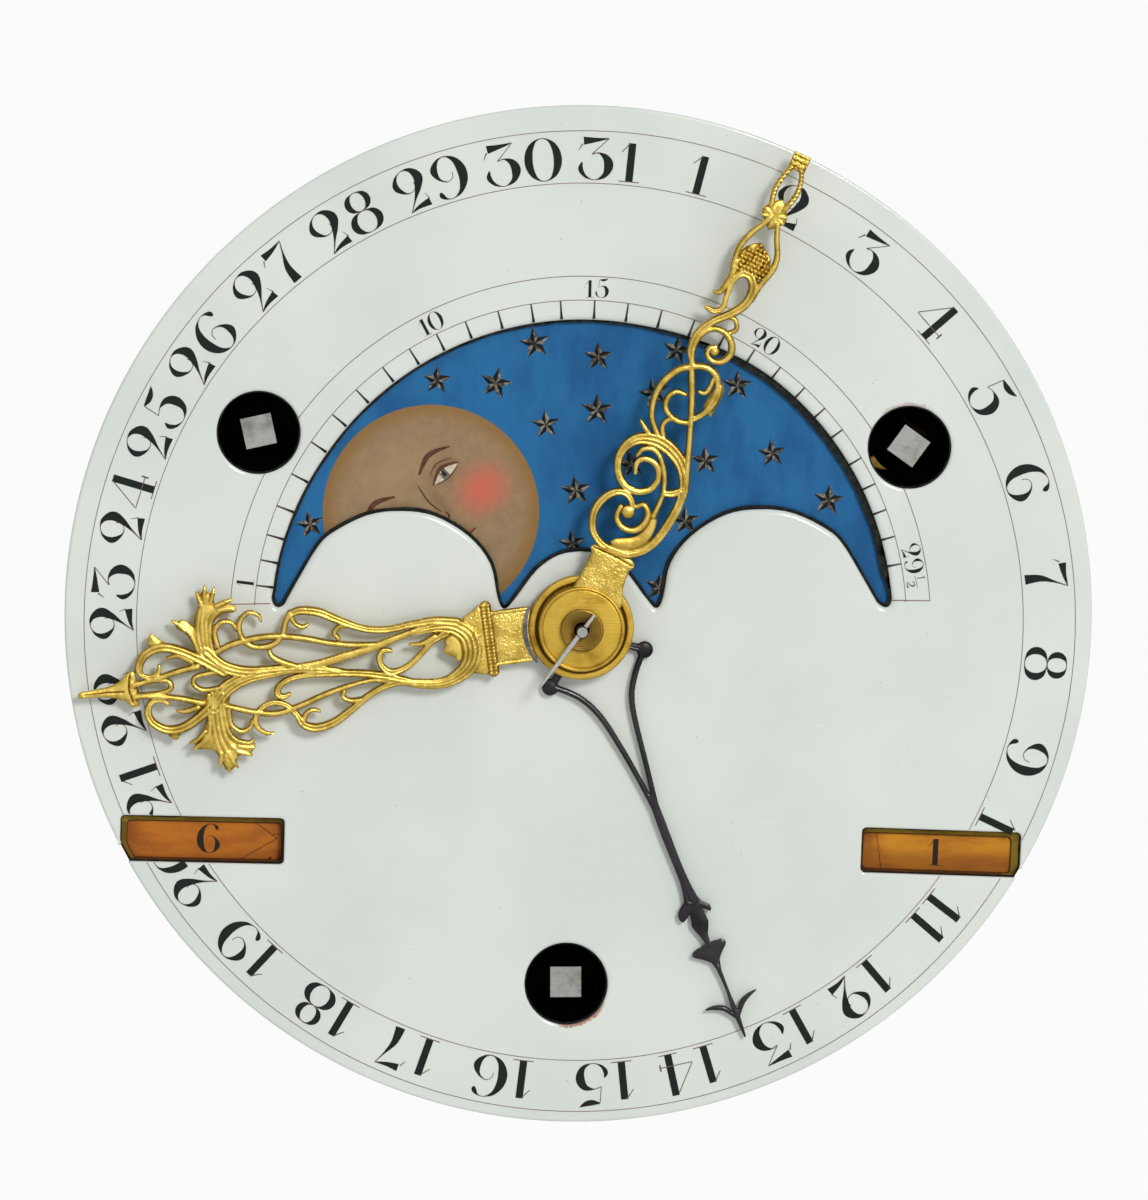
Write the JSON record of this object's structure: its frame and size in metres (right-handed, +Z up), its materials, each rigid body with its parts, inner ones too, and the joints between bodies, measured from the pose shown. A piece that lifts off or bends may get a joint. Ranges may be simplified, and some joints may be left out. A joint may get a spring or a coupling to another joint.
{
  "type": "clock dial and movement",
  "caption": "Round enamel calendar dial with moon, month and weekday apertures, gilt hands, and its spring-driven striking movement with bell and pendulum.",
  "frame": {"origin": "on the axis of the hands, at the rear face of the back plate, which is the mounting face", "axes": "+X to the right and +Z up as seen from the front, -Y towards the viewer, so +Y runs from the dial to the back"},
  "size_m": [0.1709, 0.1047, 0.171],
  "materials": {
    "enamel": "glossy vitreous enamel, printed in black",
    "clock_brass": "lacquered, brushed",
    "gilt_brass": "fire gilt, chased and burnished",
    "blued_steel": "heat blued",
    "painted_sky": "painted in oils under varnish",
    "varnished_card": "yellowed varnish",
    "bell_metal": "turned, satin",
    "pendulum_brass": "polished, lacquered",
    "polished_steel": "satin",
    "spring_steel": "blued grey"
  },
  "bodies": {
    "movement": {"enamel_dial": "enamel", "dial_plate": "clock_brass", "dial_pillars": "clock_brass", "plate_screws": "blued_steel", "front_plate": "clock_brass", "back_plate": "clock_brass", "plate_pillars": "clock_brass", "studs": "polished_steel", "leaf_springs": "spring_steel", "suspension_cock": "clock_brass", "bell": "bell_metal", "bell_stand": "polished_steel"},
    "minute": {"centre_arbor": "polished_steel", "cannon_pinion": "clock_brass", "minute_hand": "gilt_brass", "hand_collet": "clock_brass", "hand_pin": "polished_steel"},
    "setting": {"setting_wheel": "clock_brass"},
    "minute_work": {"minute_wheel": "clock_brass"},
    "hour": {"hour_wheel": "clock_brass", "hour_hand": "gilt_brass"},
    "day": {"day_wheel": "clock_brass"},
    "date": {"date_wheel": "clock_brass", "date_hand": "blued_steel"},
    "month_drive": {"month_wheel": "clock_brass"},
    "moon": {"moon_disc": "painted_sky"},
    "month": {"month_disc": "varnished_card"},
    "weekday": {"weekday_disc": "varnished_card"},
    "third": {"third_wheel": "clock_brass"},
    "escape": {"escape_wheel": "clock_brass"},
    "hour_arbor": {"hour_arbor": "clock_brass"},
    "intermediate": {"intermediate_wheel": "clock_brass"},
    "going_barrel": {"going_barrel": "clock_brass", "going_mainspring": "spring_steel"},
    "going_arbor": {"going_arbor": "polished_steel"},
    "going_click": {"going_click": "polished_steel"},
    "pallets": {"pallets": "polished_steel", "crutch": "polished_steel"},
    "pendulum": {"suspension_spring": "spring_steel", "pendulum_rod": "pendulum_brass", "pendulum_bob": "pendulum_brass"},
    "strike_barrel": {"strike_barrel": "clock_brass", "strike_mainspring": "spring_steel"},
    "strike_arbor": {"strike_arbor": "polished_steel"},
    "strike_click": {"strike_click": "polished_steel"},
    "strike_pin": {"strike_pin_wheel": "clock_brass"},
    "strike_locking": {"strike_locking_wheel": "clock_brass"},
    "strike_fly": {"strike_fly": "clock_brass"},
    "strike_count": {"strike_count_wheel": "clock_brass"},
    "strike_detent": {"strike_detent": "polished_steel"},
    "strike_hammer": {"strike_hammer": "polished_steel"},
    "quarter_barrel": {"quarter_barrel": "clock_brass", "quarter_mainspring": "spring_steel"},
    "quarter_arbor": {"quarter_arbor": "polished_steel"},
    "quarter_click": {"quarter_click": "polished_steel"},
    "quarter_pin": {"quarter_pin_wheel": "clock_brass"},
    "quarter_locking": {"quarter_locking_wheel": "clock_brass"},
    "quarter_fly": {"quarter_fly": "clock_brass"},
    "quarter_detent": {"quarter_detent": "polished_steel"},
    "quarter_hammer": {"quarter_hammer": "polished_steel"}
  },
  "joints": [
    {"name": "minute_hand_turn", "type": "hinge", "parent": "movement", "child": "minute", "pos_m": [0, 0, 0], "axis": [0, 1, 0], "continuous": true},
    {"name": "setting_wheel_turn", "type": "hinge", "parent": "movement", "child": "setting", "pos_m": [0.03652, 0, 0.01187], "axis": [0, 1, 0], "continuous": true},
    {"name": "minute_wheel_turn", "type": "hinge", "parent": "movement", "child": "minute_work", "pos_m": [0, 0, -0.0168], "axis": [0, 1, 0], "continuous": true},
    {"name": "hour_hand_turn", "type": "hinge", "parent": "movement", "child": "hour", "pos_m": [0, 0, 0], "axis": [0, 1, 0], "continuous": true},
    {"name": "day_wheel_turn", "type": "hinge", "parent": "movement", "child": "day", "pos_m": [0.02199, 0, -0.00961], "axis": [0, 1, 0], "continuous": true},
    {"name": "date_hand_turn", "type": "hinge", "parent": "movement", "child": "date", "pos_m": [0, 0, 0], "axis": [0, 1, 0], "continuous": true},
    {"name": "month_wheel_turn", "type": "hinge", "parent": "movement", "child": "month_drive", "pos_m": [-0.02199, 0, -0.00961], "axis": [0, 1, 0], "continuous": true},
    {"name": "moon_disc_turn", "type": "hinge", "parent": "movement", "child": "moon", "pos_m": [0, 0, 0], "axis": [0, 1, 0], "continuous": true},
    {"name": "month_disc_turn", "type": "hinge", "parent": "movement", "child": "month", "pos_m": [-0.04536, 0, -0.01982], "axis": [0, 1, 0], "continuous": true},
    {"name": "weekday_disc_turn", "type": "hinge", "parent": "movement", "child": "weekday", "pos_m": [0.04536, 0, -0.01982], "axis": [0, 1, 0], "continuous": true},
    {"name": "third_wheel_turn", "type": "hinge", "parent": "movement", "child": "third", "pos_m": [0.01608, 0, 0.01955], "axis": [0, 1, 0], "continuous": true},
    {"name": "escape_wheel_turn", "type": "hinge", "parent": "movement", "child": "escape", "pos_m": [0, 0, 0.0324], "axis": [0, 1, 0], "continuous": true},
    {"name": "hour_arbor_turn", "type": "hinge", "parent": "movement", "child": "hour_arbor", "pos_m": [0.03652, 0, 0.01187], "axis": [0, 1, 0], "continuous": true},
    {"name": "intermediate_wheel_turn", "type": "hinge", "parent": "movement", "child": "intermediate", "pos_m": [0.05795, 0, 0.00562], "axis": [0, 1, 0], "continuous": true},
    {"name": "going_barrel_turn", "type": "hinge", "parent": "movement", "child": "going_barrel", "pos_m": [0.0547, 0, 0.0294], "axis": [0, 1, 0], "continuous": true},
    {"name": "going_winding", "type": "hinge", "parent": "movement", "child": "going_arbor", "pos_m": [0.0547, 0, 0.0294], "axis": [0, 1, 0], "continuous": true},
    {"name": "going_click_lift", "type": "hinge", "parent": "movement", "child": "going_click", "pos_m": [0.05515, 0, 0.04239], "axis": [0, 1, 0], "range_deg": [-12, 0], "stiffness_Nm_per_rad": 0.01, "springref_deg": 17.19},
    {"name": "pallet_swing", "type": "hinge", "parent": "movement", "child": "pallets", "pos_m": [0, 0, 0.0482], "axis": [0, 1, 0], "range_deg": [-4, 4]},
    {"name": "pendulum_swing", "type": "hinge", "parent": "movement", "child": "pendulum", "pos_m": [0, 0, 0.0482], "axis": [0, 1, 0], "range_deg": [-4, 4]},
    {"name": "strike_barrel_turn", "type": "hinge", "parent": "movement", "child": "strike_barrel", "pos_m": [-0.0534, 0, 0.0324], "axis": [0, 1, 0], "continuous": true},
    {"name": "strike_winding", "type": "hinge", "parent": "movement", "child": "strike_arbor", "pos_m": [-0.0534, 0, 0.0324], "axis": [0, 1, 0], "continuous": true},
    {"name": "strike_click_lift", "type": "hinge", "parent": "movement", "child": "strike_click", "pos_m": [-0.04214, 0, 0.0389], "axis": [0, 1, 0], "range_deg": [-12, 0], "stiffness_Nm_per_rad": 0.01, "springref_deg": 17.19},
    {"name": "strike_pin_wheel_turn", "type": "hinge", "parent": "movement", "child": "strike_pin", "pos_m": [-0.04719, 0, 0.00922], "axis": [0, 1, 0], "continuous": true},
    {"name": "strike_locking_wheel_turn", "type": "hinge", "parent": "movement", "child": "strike_locking", "pos_m": [-0.03744, 0, -0.00471], "axis": [0, 1, 0], "continuous": true},
    {"name": "strike_fly_turn", "type": "hinge", "parent": "movement", "child": "strike_fly", "pos_m": [-0.02483, 0, -0.00249], "axis": [0, 1, 0], "continuous": true},
    {"name": "strike_count_wheel_turn", "type": "hinge", "parent": "movement", "child": "strike_count", "pos_m": [-0.04719, 0, -0.00838], "axis": [0, 1, 0], "continuous": true},
    {"name": "strike_detent_lift", "type": "hinge", "parent": "movement", "child": "strike_detent", "pos_m": [-0.02464, 0, -0.01659], "axis": [0, 1, 0], "range_deg": [0, 8], "stiffness_Nm_per_rad": 0.02, "springref_deg": -17.19},
    {"name": "strike_hammer_lift", "type": "hinge", "parent": "movement", "child": "strike_hammer", "pos_m": [-0.06551, 0, 0.00599], "axis": [0, 1, 0], "range_deg": [0, 12], "stiffness_Nm_per_rad": 0.05, "springref_deg": -22.92},
    {"name": "quarter_barrel_turn", "type": "hinge", "parent": "movement", "child": "quarter_barrel", "pos_m": [-0.0024, 0, -0.0608], "axis": [0, 1, 0], "continuous": true},
    {"name": "quarter_winding", "type": "hinge", "parent": "movement", "child": "quarter_arbor", "pos_m": [-0.0024, 0, -0.0608], "axis": [0, 1, 0], "continuous": true},
    {"name": "quarter_click_lift", "type": "hinge", "parent": "movement", "child": "quarter_click", "pos_m": [-0.0154, 0, -0.0608], "axis": [0, 1, 0], "range_deg": [-12, 0], "stiffness_Nm_per_rad": 0.01, "springref_deg": 17.19},
    {"name": "quarter_pin_wheel_turn", "type": "hinge", "parent": "movement", "child": "quarter_pin", "pos_m": [0.01726, 0, -0.04703], "axis": [0, 1, 0], "continuous": true},
    {"name": "quarter_locking_wheel_turn", "type": "hinge", "parent": "movement", "child": "quarter_locking", "pos_m": [0.02576, 0, -0.03231], "axis": [0, 1, 0], "continuous": true},
    {"name": "quarter_fly_turn", "type": "hinge", "parent": "movement", "child": "quarter_fly", "pos_m": [0.01467, 0, -0.02591], "axis": [0, 1, 0], "continuous": true},
    {"name": "quarter_detent_lift", "type": "hinge", "parent": "movement", "child": "quarter_detent", "pos_m": [0.0314, 0, -0.06118], "axis": [0, 1, 0], "range_deg": [0, 8], "stiffness_Nm_per_rad": 0.02, "springref_deg": -17.19},
    {"name": "quarter_hammer_lift", "type": "hinge", "parent": "movement", "child": "quarter_hammer", "pos_m": [0.03558, 0, -0.05026], "axis": [0, 1, 0], "range_deg": [0, 12], "stiffness_Nm_per_rad": 0.05, "springref_deg": -22.92}
  ],
  "couplings": [
    {"joint": "setting_wheel_turn", "follows": "minute_hand_turn", "ratio": -1},
    {"joint": "minute_wheel_turn", "follows": "minute_hand_turn", "ratio": -0.33333},
    {"joint": "hour_hand_turn", "follows": "minute_hand_turn", "ratio": 0.083333},
    {"joint": "day_wheel_turn", "follows": "minute_hand_turn", "ratio": -0.041667},
    {"joint": "month_wheel_turn", "follows": "date_hand_turn", "ratio": -1},
    {"joint": "escape_wheel_turn", "follows": "third_wheel_turn", "ratio": -11.25},
    {"joint": "hour_arbor_turn", "follows": "third_wheel_turn", "ratio": -0.083333},
    {"joint": "intermediate_wheel_turn", "follows": "third_wheel_turn", "ratio": 0.016667},
    {"joint": "going_barrel_turn", "follows": "third_wheel_turn", "ratio": -0.002381},
    {"joint": "pallet_swing", "follows": "pendulum_swing", "ratio": 1},
    {"joint": "strike_pin_wheel_turn", "follows": "strike_locking_wheel_turn", "ratio": -0.13333},
    {"joint": "strike_barrel_turn", "follows": "strike_locking_wheel_turn", "ratio": 0.019048},
    {"joint": "strike_fly_turn", "follows": "strike_locking_wheel_turn", "ratio": -7},
    {"joint": "strike_count_wheel_turn", "follows": "strike_locking_wheel_turn", "ratio": 0.017094},
    {"joint": "quarter_pin_wheel_turn", "follows": "quarter_locking_wheel_turn", "ratio": -0.13333},
    {"joint": "quarter_barrel_turn", "follows": "quarter_locking_wheel_turn", "ratio": 0.019048},
    {"joint": "quarter_fly_turn", "follows": "quarter_locking_wheel_turn", "ratio": -7}
  ]
}
